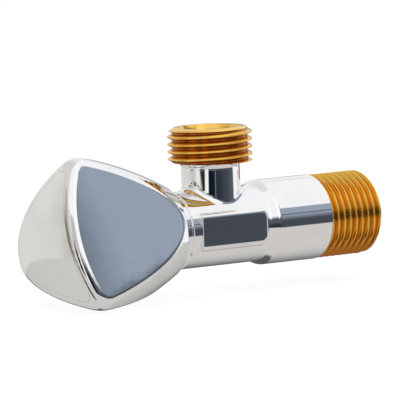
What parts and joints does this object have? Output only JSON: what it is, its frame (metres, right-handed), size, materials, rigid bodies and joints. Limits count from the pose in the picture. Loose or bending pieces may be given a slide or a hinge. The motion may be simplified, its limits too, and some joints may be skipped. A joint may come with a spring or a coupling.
{
  "type": "angle stop valve",
  "caption": "Chromed angle stop valve with threaded inlet and outlet at right angles and a three-sided knob that turns a quarter-turn ceramic cartridge.",
  "frame": {"origin": "on the inlet axis, where the full inlet thread starts, 0.9 mm in front of the end face of the sleeve, with a relief groove between the two", "axes": "+X along the inlet axis, out of the inlet; +Z along the outlet axis, out of the outlet; the knob faces -X"},
  "size_m": [0.0953, 0.0369, 0.0405],
  "materials": {
    "plated_body": "bright nickel-chrome plating over forged brass, threads left as bare brass",
    "plated_knob": "bright chrome plating over die-cast zinc",
    "turned_brass": "fine turned brass",
    "seal_rubber": "satin nitrile rubber",
    "alumina": "lapped white alumina",
    "moulded_acetal": "natural acetal moulding",
    "moulded_insert": "black moulded plastic",
    "stainless": "stainless steel"
  },
  "bodies": {
    "valve": {"valve_body": "plated_body", "bonnet_ring": "plated_body", "cartridge_housing": "turned_brass", "housing_seal": "seal_rubber", "fixed_disc": "alumina", "seat_seal": "seal_rubber", "seal_support_ring": "moulded_acetal"},
    "knob": {"knob_shell": "plated_knob", "front_cover": "plated_knob", "spline_insert": "moulded_insert", "knob_screw": "stainless", "screw_washer": "stainless", "spindle": "turned_brass", "spindle_seal_outer": "seal_rubber", "spindle_seal_inner": "seal_rubber", "stop_washer": "turned_brass", "retaining_clip": "stainless", "thrust_washer": "moulded_acetal", "disc_driver": "moulded_acetal", "turning_disc": "alumina"}
  },
  "joints": [
    {"name": "knob_turn", "type": "hinge", "parent": "valve", "child": "knob", "pos_m": [-0.07, 0, 0], "axis": [-1, 0, 0], "range_deg": [0, 90]}
  ]
}
